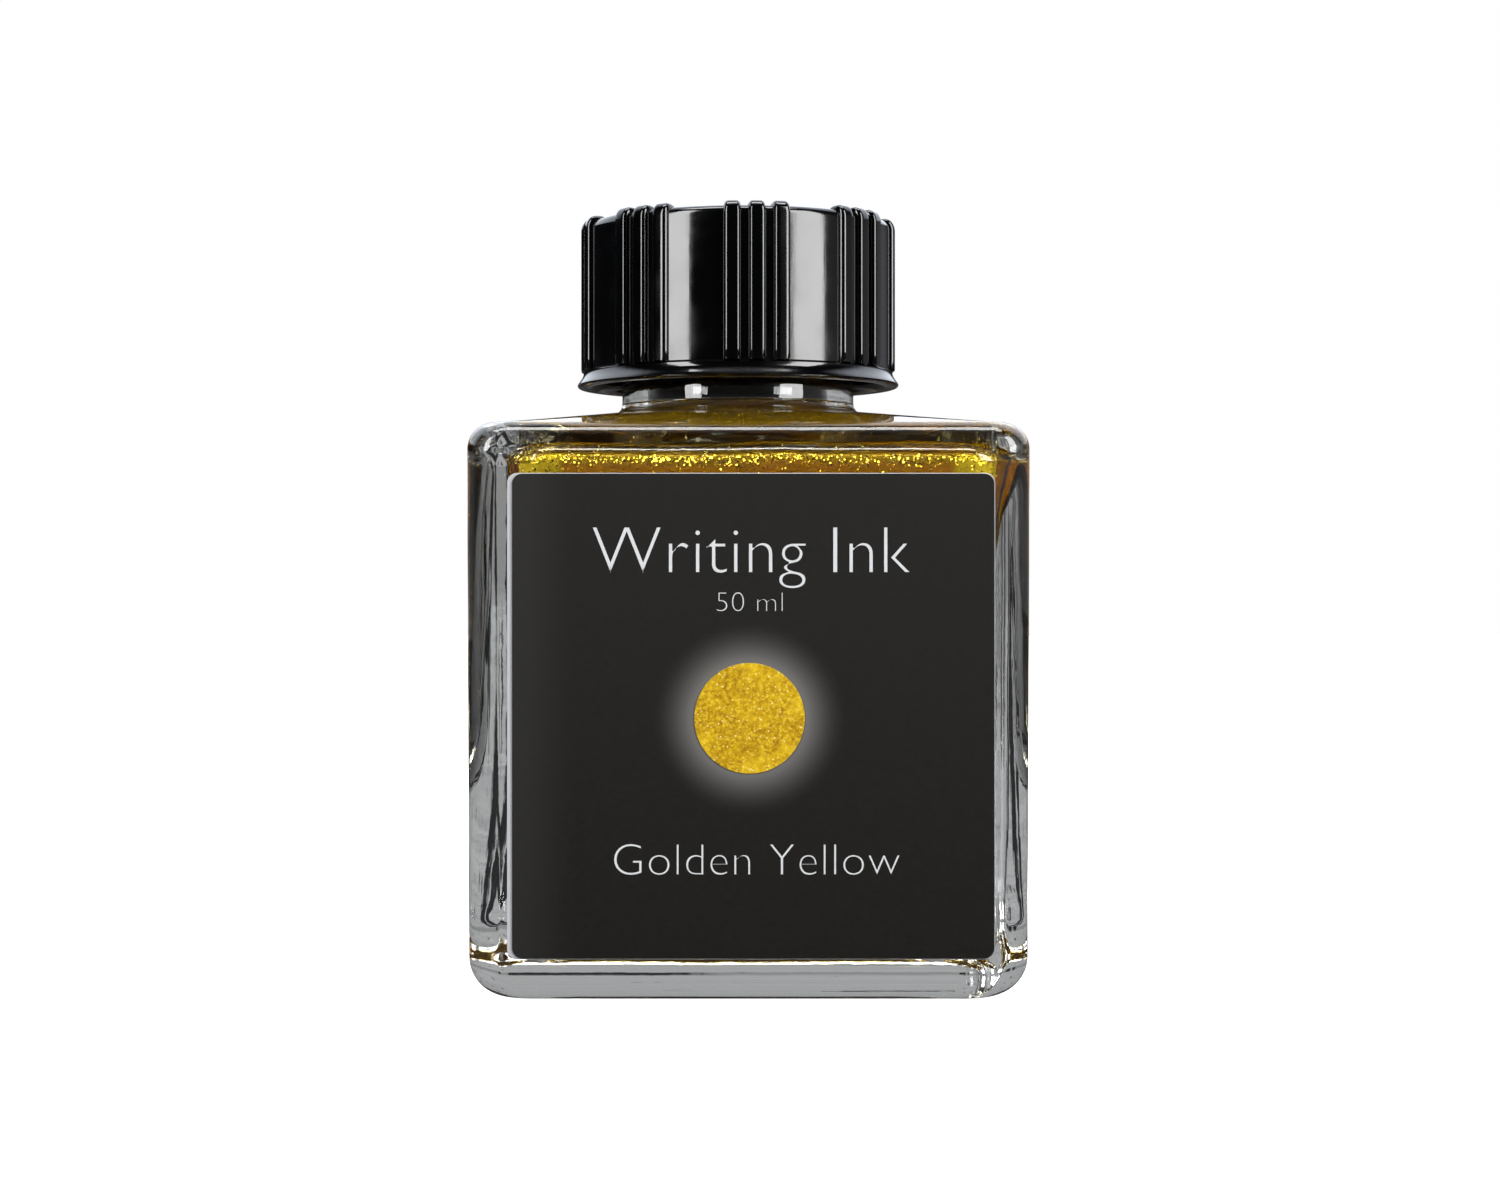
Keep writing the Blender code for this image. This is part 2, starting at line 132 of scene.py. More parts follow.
# Threads
THREAD_PITCH = 0.004233
GLASS_THREAD_START_Z = RIM_Z - 0.0083
CAP_THREAD_START_Z = GLASS_THREAD_START_Z - THREAD_PITCH / 2
GLASS_THREAD = {
    "start_z": GLASS_THREAD_START_Z,
    "turns": 1.3,
    "depth": 0.0011,
    "half": 0.00115,
    "tip": 0.00055,
}
CAP_THREAD = {
    "start_z": CAP_THREAD_START_Z,
    "turns": 1.5,
    "depth": 0.00095,
    "half": 0.00085,
    "tip": 0.0004,
}
THREAD_RUN_OUT = math.radians(40.0)

# Cap
RIB_TOP_RISE = 0.00042
CAP_TOP_Z = CAP_OUTER_Z - RIB_TOP_RISE
CAP_WALL_RADIUS = 0.01485
CAP_BORE_RADIUS = 0.0140
CAP_CEILING_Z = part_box("liner_board")[1][2] + 0.0001
CEILING_FILLET = 0.0004
MOUTH_CHAMFER = 0.0007
FLANGE_RADIUS = 0.0157
FLANGE_ROLL = 0.00028
FLANGE_NECK_RADIUS = 0.0151
FLANGE_TOP_Z = CAP_BOTTOM_Z + 0.0016
TOP_BEVEL = 0.0008
TOP_DISC_RADIUS = 0.0125
TOP_DISC_DIP = 0.00012
RIB_CLUSTERS = 8
RIBS_PER_CLUSTER = 3
RIB_PITCH = math.radians(9.0)
RIB_BASE_HALF = math.radians(3.15)
RIB_TOP_HALF = math.radians(1.5)
RIB_HEIGHT = 0.0005
FRONT_RIB_ANGLE = math.radians(-90.0 + 4.55)

# Label stack
LABEL_CORNER_RADIUS = 0.0009
SPOT_CENTRE = ((SPOT_LOW[0] + SPOT_HIGH[0]) / 2, (SPOT_LOW[2] + SPOT_HIGH[2]) / 2)
SPOT_RADIUS = (SPOT_HIGH[0] - SPOT_LOW[0]) / 2
GLOW_REACH = 0.0040
GLOW_FALL_OFF = 2.3
HALFTONE_PITCH = 0.00015
PRINT_THICKNESS = 0.000004

# Lines of words: name, words, letter size, left and right ends, height above the label's foot, stroke change
WORD_LINES = (
    ("word_line_top", "Writing Ink", 0.0062, (-0.0140, 0.0142), 0.0343, -0.00013),
    ("word_line_volume", "50 ml", 0.0026, (-0.0030, 0.0029), 0.0309, -0.00008),
    ("word_line_colour", "Golden Yellow", 0.0042, (-0.0121, 0.0133), 0.0074, -0.00011),
)

# Studio
SOFTBOX_DISTANCE = 0.7
SOFTBOX_FOOT_Z = 0.088
SOFTBOX_HEAD_Z = 0.85
TOP_SOFTBOX_PLACE = (0.0, -0.02, 0.75)
TOP_SOFTBOX_SIZE = (0.55, 0.2)
FLAGS = ((-1.5, 3.6), (-8.5, 2.4))
FLOOR_REACH = 3.0
FLOOR_DROP = 0.00005
CAMERA_PLACE = (-0.012, -0.2795, 0.03565)
CAMERA_LENS = 68.4
CAMERA_SHIFT = (0.0898, 0.0033)

# Light runs along inside the glass for many reflections
GLASS_BOUNCES = 36

# Mesh fineness
SIDE_STEPS = 8
CORNER_STEPS = 20
LEVEL_STEP = 0.0004


# ---------------------------------------------------------------- meshes


def mix(first, second, share):
    return first + (second - first) * share


def smooth_step(share):
    share = min(1.0, max(0.0, share))
    return share * share * (3.0 - 2.0 * share)


def add_mesh(name, points, faces, look, sharp_degrees=40.0):
    """Links a smooth-shaded mesh with crisp edges above the given angle."""
    mesh = bpy.data.meshes.new(name)
    mesh.from_pydata([tuple(p) for p in points], [], faces)
    mesh.shade_smooth()
    if sharp_degrees is not None:
        mesh.set_sharp_from_angle(angle=math.radians(sharp_degrees))
    mesh.materials.append(look)
    obj = bpy.data.objects.new(name, mesh)
    bpy.context.scene.collection.objects.link(obj)
    return obj


def skin(name, rings, look, sharp_degrees=40.0, flip=False):
    """Joins rings of equal point count in order and closes both ends round a centre point."""
    rings = np.asarray(rings, float)
    levels, count, _ = rings.shape
    points = list(rings.reshape(-1, 3))
    points.append(rings[0].mean(axis=0))
    points.append(rings[-1].mean(axis=0))
    first_centre = levels * count
    last_centre = first_centre + 1
    faces = []
    for step in range(count):
        after = (step + 1) % count
        faces.append((first_centre, after, step))
        last = (levels - 1) * count
        faces.append((last_centre, last + step, last + after))
        for level in range(levels - 1):
            low = level * count
            high = low + count
            faces.append((low + step, low + after, high + after, high + step))
    if flip:
        faces = [face[::-1] for face in faces]
    return add_mesh(name, points, faces, look, sharp_degrees)


def rounded_square(half_width, corner_radius, height):
    """A square with round corners, its points close together in the corners, or an even circle."""
    flat = half_width - corner_radius
    arc = corner_radius * QUARTER
    quadrant = 2.0 * flat + arc
    squareness = min(1.0, 3.0 * (1.0 - corner_radius / half_width))
    count = 2 * SIDE_STEPS + CORNER_STEPS
    points = []
    for corner in range(4):
        turn = corner * QUARTER
        cos_turn, sin_turn = math.cos(turn), math.sin(turn)
        for step in range(count):
            if step < SIDE_STEPS:
                along = flat * step / SIDE_STEPS
            elif step < SIDE_STEPS + CORNER_STEPS:
                along = flat + arc * (step - SIDE_STEPS) / CORNER_STEPS
            else:
                along = flat + arc + flat * (step - SIDE_STEPS - CORNER_STEPS) / SIDE_STEPS
            along = mix(quadrant * step / count, along, squareness)
            if along < flat:
                x, y = half_width, along
            elif along < flat + arc:
                angle = (along - flat) / corner_radius
                x = flat + corner_radius * math.cos(angle)
                y = flat + corner_radius * math.sin(angle)
            else:
                x, y = quadrant - along, half_width
            points.append((x * cos_turn - y * sin_turn, x * sin_turn + y * cos_turn, height))
    return points


def steps_for(length, least=2):
    return max(least, math.ceil(abs(length) / LEVEL_STEP))


def line_levels(start, end):
    """Levels from start up to but not including end."""
    count = steps_for(math.dist(start, end))
    return [tuple(mix(a, b, step / count) for a, b in zip(start, end)) for step in range(count)]


def outer_shoulder_z(half_width):
    start = BODY_HALF_WIDTH - SHOULDER_RADIUS * (1.0 - math.sin(SHOULDER_SLOPE))
    start_z = SHOULDER_START_Z + SHOULDER_RADIUS * math.cos(SHOULDER_SLOPE)
    return start_z + (start - half_width) * math.tan(SHOULDER_SLOPE)


def outer_levels():
    """Base, heel, side, shoulder, neck, finish and rolled rim as (half width, corner radius, z)."""
    levels = []
    for step in range(13):
        width = mix(0.003, PUSH_UP_HALF_WIDTH, step / 12)
        rise = PUSH_UP_HEIGHT * smooth_step((PUSH_UP_HALF_WIDTH - width) / PUSH_UP_EDGE)
        levels.append((width, min(width, PUSH_UP_CORNER_RADIUS), rise))
    steps = 16
    for step in range(steps + 1):
        angle = QUARTER * step / steps
        inset = HEEL_RADIUS * (1.0 - math.sin(angle))
        height = HEEL_RADIUS * (1.0 - math.cos(angle))
        levels.append((HEEL_HALF_WIDTH - inset, BODY_CORNER_RADIUS - HEEL_CORNER_LOSS * inset, height))
    side_end = (BODY_HALF_WIDTH, BODY_CORNER_RADIUS, SHOULDER_START_Z)
    levels += line_levels(levels[-1], side_end)[1:]
    levels.append(side_end)
    steps = 12
    for step in range(1, steps + 1):
        angle = (QUARTER - SHOULDER_SLOPE) * step / steps
        inset = SHOULDER_RADIUS * (1.0 - math.cos(angle))
        height = SHOULDER_START_Z + SHOULDER_RADIUS * math.sin(angle)
        levels.append((BODY_HALF_WIDTH - inset, BODY_CORNER_RADIUS - 0.2 * inset, height))
    edge_width, edge_corner, _ = levels[-1]
    root_width = NECK_RADIUS + NECK_FILLET
    steps = steps_for(edge_width - root_width)
    for step in range(1, steps + 1):
        share = step / steps
        width = mix(edge_width, root_width, share)
        corner = mix(edge_corner, root_width, share ** 0.8)
        levels.append((width, min(corner, width), outer_shoulder_z(width)))
    root_z = outer_shoulder_z(root_width)
    steps = 8
    for step in range(1, steps + 1):
        angle = QUARTER * step / steps
        radius = NECK_RADIUS + NECK_FILLET * (1.0 - math.sin(angle))
        levels.append((radius, radius, root_z + NECK_FILLET * (1.0 - math.cos(angle))))
    neck_top = (NECK_RADIUS, NECK_RADIUS, FINISH_START_Z)
    levels += line_levels(levels[-1], neck_top)[1:]
    taper_top = (FINISH_ROOT_RADIUS, FINISH_ROOT_RADIUS, FINISH_START_Z + FINISH_TAPER_HEIGHT)
    for step in range(7):
        share = step / 6
        radius = mix(NECK_RADIUS, FINISH_ROOT_RADIUS, smooth_step(share))
        levels.append((radius, radius, mix(FINISH_START_Z, taper_top[2], share)))
    wall_top = (FINISH_ROOT_RADIUS, FINISH_ROOT_RADIUS, RIM_Z - RIM_ROUND)
    count = 50
    for step in range(1, count):
        share = step / count
        levels.append(tuple(mix(a, b, share) for a, b in zip(taper_top, wall_top)))
    for centre, turn in ((FINISH_ROOT_RADIUS - RIM_ROUND, 0.0), (BORE_RADIUS + RIM_ROUND, QUARTER)):
        for step in range(7):
            angle = turn + QUARTER * step / 6
            radius = centre + RIM_ROUND * math.cos(angle)
            levels.append((radius, radius, RIM_Z - RIM_ROUND + RIM_ROUND * math.sin(angle)))
    return levels


def cavity_levels():
    """Bore, flare, inner shoulder, tapering walls and floor, as levels from the top down."""
    start = BORE_RADIUS + BORE_FLARE
    flare_z = outer_shoulder_z(start) - SHOULDER_GLASS
    bore_top = (BORE_RADIUS, BORE_RADIUS, RIM_Z - RIM_ROUND)
    bore_end = (BORE_RADIUS, BORE_RADIUS, flare_z + BORE_FLARE)
    levels = line_levels(bore_top, bore_end)[1:]
    steps = 10
    for step in range(steps):
        angle = (QUARTER - SHOULDER_SLOPE) * step / steps
        radius = start - BORE_FLARE * math.cos(angle)
        levels.append((radius, radius, flare_z + BORE_FLARE * (1.0 - math.sin(angle))))
    top_width = CAVITY_TOP_HALF_WIDTH
    radius = CAVITY_SHOULDER_RADIUS
    slope_end = top_width - radius * (1.0 - math.sin(SHOULDER_SLOPE))
    slope_end_z = outer_shoulder_z(slope_end) - SHOULDER_GLASS
    centre_z = slope_end_z - radius * math.cos(SHOULDER_SLOPE)
    corner = CAVITY_CORNER_RADIUS
    steps = steps_for(slope_end - start)
    for step in range(steps):
        share = step / steps
        width = mix(start, slope_end, share)
        top_corner = mix(start, corner + CAVITY_CORNER_SPREAD, share)
        levels.append((width, min(top_corner, width), outer_shoulder_z(width) - SHOULDER_GLASS))
    steps = 14
    for step in range(steps + 1):
        angle = (QUARTER - SHOULDER_SLOPE) * (1.0 - step / steps)
        width = top_width - radius * (1.0 - math.cos(angle))
        extra = CAVITY_CORNER_SPREAD * (1.0 - step / steps)
        levels.append((width, corner + extra, centre_z + radius * math.sin(angle)))
    wall_end = (CAVITY_LOW_HALF_WIDTH, corner, CAVITY_FLOOR_Z + CAVITY_FLOOR_RADIUS)
    levels += line_levels(levels[-1], wall_end)[1:]
    steps = 16
    for step in range(steps + 1):
        angle = QUARTER * step / steps
        loss = CAVITY_FLOOR_RADIUS * (1.0 - math.cos(angle))
        width = CAVITY_LOW_HALF_WIDTH - loss
        height = CAVITY_FLOOR_Z + CAVITY_FLOOR_RADIUS * (1.0 - math.sin(angle))
        levels.append((width, corner - 0.3 * loss, height))
    floor_width, floor_corner, floor_z = levels[-1]
    for share in (0.25, 0.5, 0.75):
        width = mix(floor_width, 0.001, share)
        levels.append((width, min(width, floor_corner), floor_z))
    return levels


def outward_normals(rings):
    """Unit normals of a skinned surface, pointing to the right of its running direction."""
    along = np.gradient(rings, axis=0)
    around = (np.roll(rings, -1, axis=1) - np.roll(rings, 1, axis=1)) / 2.0
    normals = np.cross(around, along)
    lengths = np.linalg.norm(normals, axis=2, keepdims=True)
    return normals / np.maximum(lengths, 1e-12)


def waviness(rings, scale, amplitude, offset):
    """Smooth noise at each point, for the slight unevenness of moulded glass."""
    flat = rings.reshape(-1, 3)
    values = [noise.noise(Vector(point) * scale + Vector(offset)) for point in flat]
    return np.array(values).reshape(rings.shape[:2] + (1,)) * amplitude


def helix_share(angle, height, thread):
    """How far a thread ridge stands out at this angle and height, from 0 to 1."""
    best = 0.0
    whole = 2.0 * math.pi
    total = thread["turns"] * whole
    angle %= whole
    while angle <= total:
        grown = math.sin(QUARTER * min(1.0, angle / THREAD_RUN_OUT, (total - angle) / THREAD_RUN_OUT))
        centre = thread["start_z"] + THREAD_PITCH * angle / whole
        slope = (thread["half"] - abs(height - centre)) / (thread["half"] - thread["tip"])
        best = max(best, grown * smooth_step(slope))
        angle += whole
    return best


def glass_surfaces():
    """(outer rings, cavity rings) of the bottle, both slightly uneven."""
    outer = np.array([rounded_square(*level) for level in outer_levels()])
    for level in range(outer.shape[0]):
        height = outer[level, 0, 2]
        radius = math.hypot(*outer[level, 0, :2])
        if FINISH_START_Z + 0.0005 < height < RIM_Z - RIM_ROUND and radius > NECK_RADIUS:
            for step in range(outer.shape[1]):
                x, y, _ = outer[level, step]
                share = helix_share(math.atan2(y, x), height, GLASS_THREAD)
                outer[level, step, :2] *= 1.0 + share * GLASS_THREAD["depth"] / math.hypot(x, y)
    cavity = np.array([rounded_square(*level) for level in cavity_levels()])
    start_z, end_z = CAVITY_SHIFT_Z
    cavity[:, :, 0] += CAVITY_SHIFT * np.clip((start_z - cavity[:, :, 2]) / (start_z - end_z), 0.0, 1.0)
    below_neck = np.clip((RIPPLE_TOP_Z - outer[:, :, 2:]) / RIPPLE_FADE, 0.0, 1.0)
    above_base = np.clip(outer[:, :, 2:] / RIPPLE_BASE_FADE, 0.0, 1.0)
    ripple = waviness(outer, **OUTER_RIPPLE)
    outer = outer + outward_normals(outer) * ripple * below_neck * above_base
    below_bore = np.clip((RIPPLE_TOP_Z - cavity[:, :, 2:]) / RIPPLE_FADE, 0.0, 1.0)
    ripple = sum(waviness(cavity, **wave) for wave in CAVITY_RIPPLES)
    cavity = cavity - outward_normals(cavity) * ripple * below_bore
    return outer, cavity


# ---------------------------------------------------------------- materials


class Nodes:
    """Short helpers for building a node tree."""

    def __init__(self, tree):
        self.tree = tree

    def node(self, kind, inputs=(), **settings):
        made = self.tree.nodes.new(kind)
        for name, value in settings.items():
            setattr(made, name, value)
        for key, value in dict(inputs).items():
            if isinstance(value, bpy.types.NodeSocket):
                self.tree.links.new(value, made.inputs[key])
            else:
                made.inputs[key].default_value = value
        return made

    def math(self, operation, first, second=0.0, third=0.0):
        made = self.node("ShaderNodeMath", {0: first, 1: second, 2: third}, operation=operation)
        return made.outputs[0]

    def map(self, value, low, high, to_low=0.0, to_high=1.0, kind="LINEAR"):
        made = self.node(
            "ShaderNodeMapRange",
            {"Value": value, "From Min": low, "From Max": high, "To Min": to_low, "To Max": to_high},
            interpolation_type=kind,
        )
        return made.outputs["Result"]

    def mix(self, share, first, second, blend="MIX"):
        made = self.tree.nodes.new("ShaderNodeMix")
        made.data_type = "RGBA"
        made.blend_type = blend
        sockets = {s.identifier: s for s in made.inputs}
        for key, value in (("Factor_Float", share), ("A_Color", first), ("B_Color", second)):
            if isinstance(value, bpy.types.NodeSocket):
                self.tree.links.new(value, sockets[key])
            elif isinstance(value, tuple):
                sockets[key].default_value = (*value, 1.0)
            else:
                sockets[key].default_value = value
        return [s for s in made.outputs if s.identifier == "Result_Color"][0]


class Look(Nodes):
    """A Principled material with helpers for textures in object coordinates."""

    def __init__(self, name, colour, roughness, metallic=0.0):
        self.material = bpy.data.materials.new(name)
        self.material.use_nodes = True
        super().__init__(self.material.node_tree)
        self.shader = self.tree.nodes["Principled BSDF"]
        self.set("Base Color", (*colour, 1.0))
        self.set("Roughness", roughness)
        self.set("Metallic", metallic)
        self.material.diffuse_color = (*colour, 1.0)
        self.coordinates = self.tree.nodes.new("ShaderNodeTexCoord").outputs["Object"]

    def set(self, socket, value):
        self.shader.inputs[socket].default_value = value

    def link(self, output, socket):
        self.tree.links.new(output, self.shader.inputs[socket])

    def stretched(self, factors):
        """Object coordinates multiplied axis by axis."""
        made = self.node("ShaderNodeVectorMath", {0: self.coordinates, 1: factors}, operation="MULTIPLY")
        return made.outputs[0]

    def noise(self, scale, detail=2.0, factors=(1.0, 1.0, 1.0), rough=0.5):
        made = self.node(
            "ShaderNodeTexNoise",
            {"Vector": self.stretched(factors), "Scale": scale, "Detail": detail, "Roughness": rough},
        )
        return made.outputs["Fac"]

    def cells(self, scale, feature="F1", output="Distance", factors=(1.0, 1.0, 1.0)):
        made = self.node(
            "ShaderNodeTexVoronoi", {"Vector": self.stretched(factors), "Scale": scale}, feature=feature
        )
        return made.outputs[output]

    def bump(self, height, strength, distance, after=None):
        inputs = {"Height": height, "Strength": strength, "Distance": distance}
        if after is not None:
            inputs["Normal"] = after
        return self.node("ShaderNodeBump", inputs).outputs["Normal"]


def glass_look():
    look = Look("clear_glass", (0.93, 0.955, 0.96), 0.01)
    look.set("Transmission Weight", 1.0)
    look.set("IOR", 1.5)
    smudge = look.noise(90.0, 4.0)
    look.link(look.map(smudge, 0.55, 0.8, 0.0, 0.06), "Roughness")
    tint = look.mix(look.noise(60.0, 2.0), (0.92, 0.95, 0.955), (0.97, 0.985, 0.985))
    look.link(tint, "Base Color")
    waves = look.bump(look.noise(260.0, 2.0), 0.25, 0.00012)
    look.link(look.bump(look.noise(1400.0, 3.0), 0.12, 0.00002, waves), "Normal")
    return look.material


def ink_look():
    look = Look("amber_ink", (0.97, 0.93, 0.80), 0.0)
    look.set("Transmission Weight", 1.0)
    look.set("IOR", 1.33)
    volume = look.node("ShaderNodeVolumeAbsorption")
    volume.inputs["Color"].default_value = (0.985, 0.90, 0.25, 1.0)
    volume.inputs["Density"].default_value = 260.0
    output = look.tree.nodes["Material Output"]
    look.tree.links.new(volume.outputs[0], output.inputs["Volume"])
    drift = look.mix(look.noise(120.0, 3.0), (0.98, 0.95, 0.84), (0.95, 0.90, 0.74))
    look.link(drift, "Base Color")
    return look.material


def shimmer_look():
    """Cloudy gold pigment: olive gold at the top, amber below it, a painted highlight in bright gold on its
    upper corners, and facets that catch the light.
    """
    look = Look("gold_shimmer_cloud", (0.62, 0.36, 0.012), 0.36, 0.15)
    place = look.node("ShaderNodeSeparateXYZ", {0: look.coordinates}).outputs
    height = place["Z"]
    # Painted highlight: the distance from the middle picks the corners that are coloured bright gold
    across = look.math("ABSOLUTE", look.math("SUBTRACT", place["X"], CAVITY_SHIFT))
    reach = look.math("MINIMUM", across, look.math("ABSOLUTE", place["Y"]))
    corner = look.map(reach, *CORNER_PAINTED_HIGHLIGHT_REACH, kind="SMOOTHSTEP")
    swirl = look.noise(180.0, 4.0)
    drift = look.math("MULTIPLY_ADD", swirl, CLOUD_DRIFT, height)
    deep = look.mix(swirl, (0.27, 0.145, 0.006), (0.39, 0.215, 0.010))
    amber = look.mix(swirl, (0.62, 0.25, 0.001), (0.80, 0.34, 0.002))
    olive = look.mix(swirl, (0.42, 0.245, 0.001), (0.56, 0.34, 0.002))
    tone = look.mix(look.map(drift, *AMBER_Z, kind="SMOOTHSTEP"), deep, amber)
    tone = look.mix(look.map(drift, *OLIVE_Z, kind="SMOOTHSTEP"), tone, olive)
    # Painted highlight: the upper corners turn bright gold, where the side lights would strike them
    painted_light_height = look.map(height, *CORNER_PAINTED_HIGHLIGHT_Z, kind="SMOOTHSTEP")
    tone = look.mix(look.math("MULTIPLY", corner, painted_light_height), tone, (1.0, 0.74, 0.02))
    facet = look.cells(FACET_SCALE, output="Color")
    pick = look.node("ShaderNodeSeparateColor", {0: facet}).outputs
    least = look.map(drift, *FACET_Z, 0.93, 0.70, "SMOOTHSTEP")
    bright = look.math("GREATER_THAN", pick["Red"], least)
    look.link(look.mix(bright, tone, (1.0, 0.76, 0.10)), "Base Color")
    look.link(look.map(bright, 0.0, 1.0, 0.35, 1.0), "Metallic")
    look.link(look.map(bright, 0.0, 1.0, 0.36, 0.24), "Roughness")
    lean = look.node("ShaderNodeVectorMath", {0: facet, 1: (-0.5, -0.5, -0.5)}, operation="ADD").outputs[0]
    amount = look.math("MULTIPLY", bright, FACET_LEAN)
    lean = look.node("ShaderNodeVectorMath", {0: lean, "Scale": amount}, operation="SCALE")
    straight = look.node("ShaderNodeNewGeometry").outputs["Normal"]
    tilted = look.node("ShaderNodeVectorMath", {0: straight, 1: lean.outputs[0]}, operation="ADD").outputs[0]
    tilted = look.node("ShaderNodeVectorMath", {0: tilted}, operation="NORMALIZE").outputs[0]
    look.link(tilted, "Normal")
    return look.material


def flake_look():
    look = Look("gold_flakes", (0.95, 0.70, 0.16), 0.22, 1.0)
    tint = look.mix(look.noise(900.0, 1.0), (0.96, 0.76, 0.16), (1.0, 0.90, 0.42))
    look.link(tint, "Base Color")
    look.link(look.map(look.noise(1300.0, 1.0), 0.3, 0.7, 0.12, 0.34), "Roughness")
    return look.material


def cap_look():
    black = (0.0008, 0.0009, 0.0011)
    look = Look("black_gloss_plastic", black, 0.1)
    look.set("IOR", 1.52)
    haze = look.noise(240.0, 5.0)
    look.link(look.map(haze, 0.35, 0.75, 0.07, 0.17), "Roughness")
    dust = look.map(look.noise(5200.0, 2.0), 0.72, 0.80)
    look.link(look.mix(look.math("MULTIPLY", dust, 0.35), black, (0.05, 0.05, 0.05)), "Base Color")
    drag = look.bump(look.noise(1.0, 3.0, (2600.0, 2600.0, 150.0)), 0.10, 0.00003)
    look.link(look.bump(look.noise(900.0, 3.0), 0.08, 0.00003, drag), "Normal")
    return look.material


def paper_look():
    look = Look("white_label_paper", (0.46, 0.46, 0.48), 0.65)
    grain = look.noise(6000.0, 3.0)
    look.link(look.mix(grain, (0.42, 0.42, 0.44), (0.50, 0.50, 0.52)), "Base Color")
    look.link(look.bump(grain, 0.2, 0.00001), "Normal")
    return look.material


def black_print_look():
    """Uncoated black print with a soft halftone glow round the gold spot, and a painted sheen that lightens it
    towards its left edge and its top.
    """
    look = Look("black_label_print", (0.007, 0.0066, 0.006), 0.62)
    look.set("Specular IOR Level", 0.2)
    grain = look.noise(7000.0, 3.0, (0.55, 1.0, 1.0), 0.65)
    fibre = look.noise(1.0, 2.0, (1300.0, 1.0, 4200.0))
    tone = look.math("MULTIPLY_ADD", grain, 0.6, look.math("MULTIPLY", fibre, 0.4))
    paper = look.mix(look.map(tone, 0.3, 0.7), (0.0030, 0.0026, 0.0020), (0.0080, 0.0072, 0.0058))
    separate = look.node("ShaderNodeSeparateXYZ", {0: look.coordinates})
    # Painted sheen: the black is lifted lighter towards the left edge and towards the top, where the light
    # catches it
    left = look.map(separate.outputs["X"], BLACK_LOW[0] + 0.006, BLACK_LOW[0], 0.0, 1.0, "SMOOTHSTEP")
    painted_light_height = look.map(separate.outputs["Z"], BLACK_LOW[2], BLACK_HIGH[2], 0.0, 1.0)
    lift = look.math("MULTIPLY_ADD", left, 0.60, look.math("MULTIPLY", painted_light_height, 0.30))
    paper = look.mix(lift, paper, (0.021, 0.0205, 0.0185))
    across = look.math("SUBTRACT", separate.outputs["X"], SPOT_CENTRE[0])
    up = look.math("SUBTRACT", separate.outputs["Z"], SPOT_CENTRE[1])
    reach = look.math("SQRT", look.math("ADD", look.math("POWER", across, 2.0), look.math("POWER", up, 2.0)))
    glow = look.map(reach, SPOT_RADIUS, SPOT_RADIUS + GLOW_REACH, 1.0, 0.0)
    glow = look.math("POWER", look.math("MAXIMUM", glow, 0.0), GLOW_FALL_OFF)
    screen = 2.0 * math.pi / HALFTONE_PITCH * math.sqrt(0.5)
    dots = look.math(
        "ADD",
        look.math("COSINE", look.math("MULTIPLY", look.math("ADD", across, up), screen)),
        look.math("COSINE", look.math("MULTIPLY", look.math("SUBTRACT", across, up), screen)),
    )
    cover = look.math("MULTIPLY", glow, look.math("MULTIPLY_ADD", dots, 0.22, 1.0))
    look.link(look.mix(cover, paper, (0.150, 0.146, 0.140)), "Base Color")
    look.link(look.map(tone, 0.3, 0.7, 0.5, 0.68), "Roughness")
    look.link(look.bump(tone, 0.25, 0.000012), "Normal")
    return look.material


def lettering_look():
    look = Look("pale_lettering", (0.62, 0.63, 0.64), 0.55)
    grain = look.noise(9000.0, 3.0)
    look.link(look.mix(grain, (0.56, 0.57, 0.58), (0.66, 0.67, 0.68)), "Base Color")
    look.link(look.bump(grain, 0.2, 0.000008), "Normal")
    return look.material


def gold_spot_look():
    """Printed gold glitter: mottled yellow with bright cells."""
    look = Look("gold_glitter_print", (0.62, 0.34, 0.006), 0.45, 0.0)
    look.set("Specular IOR Level", 0.3)
    mottle = look.noise(2600.0, 3.0, rough=0.7)
    cloud = look.noise(520.0, 3.0)
    gold = look.mix(look.map(mottle, 0.36, 0.66), (0.30, 0.140, 0.001), (0.62, 0.40, 0.006))
    gold = look.mix(look.map(cloud, 0.45, 0.72, 0.0, 0.6), gold, (0.78, 0.52, 0.012))
    facet = look.node("ShaderNodeSeparateColor", {0: look.cells(5200.0, output="Color")}).outputs
    gold = look.mix(look.map(facet["Red"], 0.70, 0.95, 0.0, 0.45), gold, (0.90, 0.66, 0.05))
    spark = look.map(look.cells(3100.0), 0.30, 0.14)
    chosen = look.map(look.noise(1700.0, 1.0), 0.54, 0.62)
    gold = look.mix(look.math("MULTIPLY", spark, chosen), gold, (0.95, 0.80, 0.30))
    look.link(gold, "Base Color")
    look.link(look.bump(look.cells(5200.0), 0.25, 0.00003), "Normal")
    return look.material


def board_look():
    look = Look("grey_pulp_board", (0.55, 0.48, 0.38), 0.85)
    fibre = look.noise(2600.0, 5.0)
    look.link(look.mix(fibre, (0.46, 0.39, 0.30), (0.62, 0.55, 0.45)), "Base Color")
    look.link(look.bump(fibre, 0.4, 0.00003), "Normal")
    return look.material


def film_look():
    look = Look("white_liner_film", (0.86, 0.86, 0.84), 0.3)
    haze = look.noise(700.0, 4.0)
    look.link(look.mix(haze, (0.80, 0.80, 0.78), (0.90, 0.90, 0.88)), "Base Color")
    look.link(look.map(haze, 0.3, 0.7, 0.22, 0.42), "Roughness")
    look.link(look.bump(haze, 0.15, 0.00002), "Normal")
    return look.material


# ---------------------------------------------------------------- glass and ink


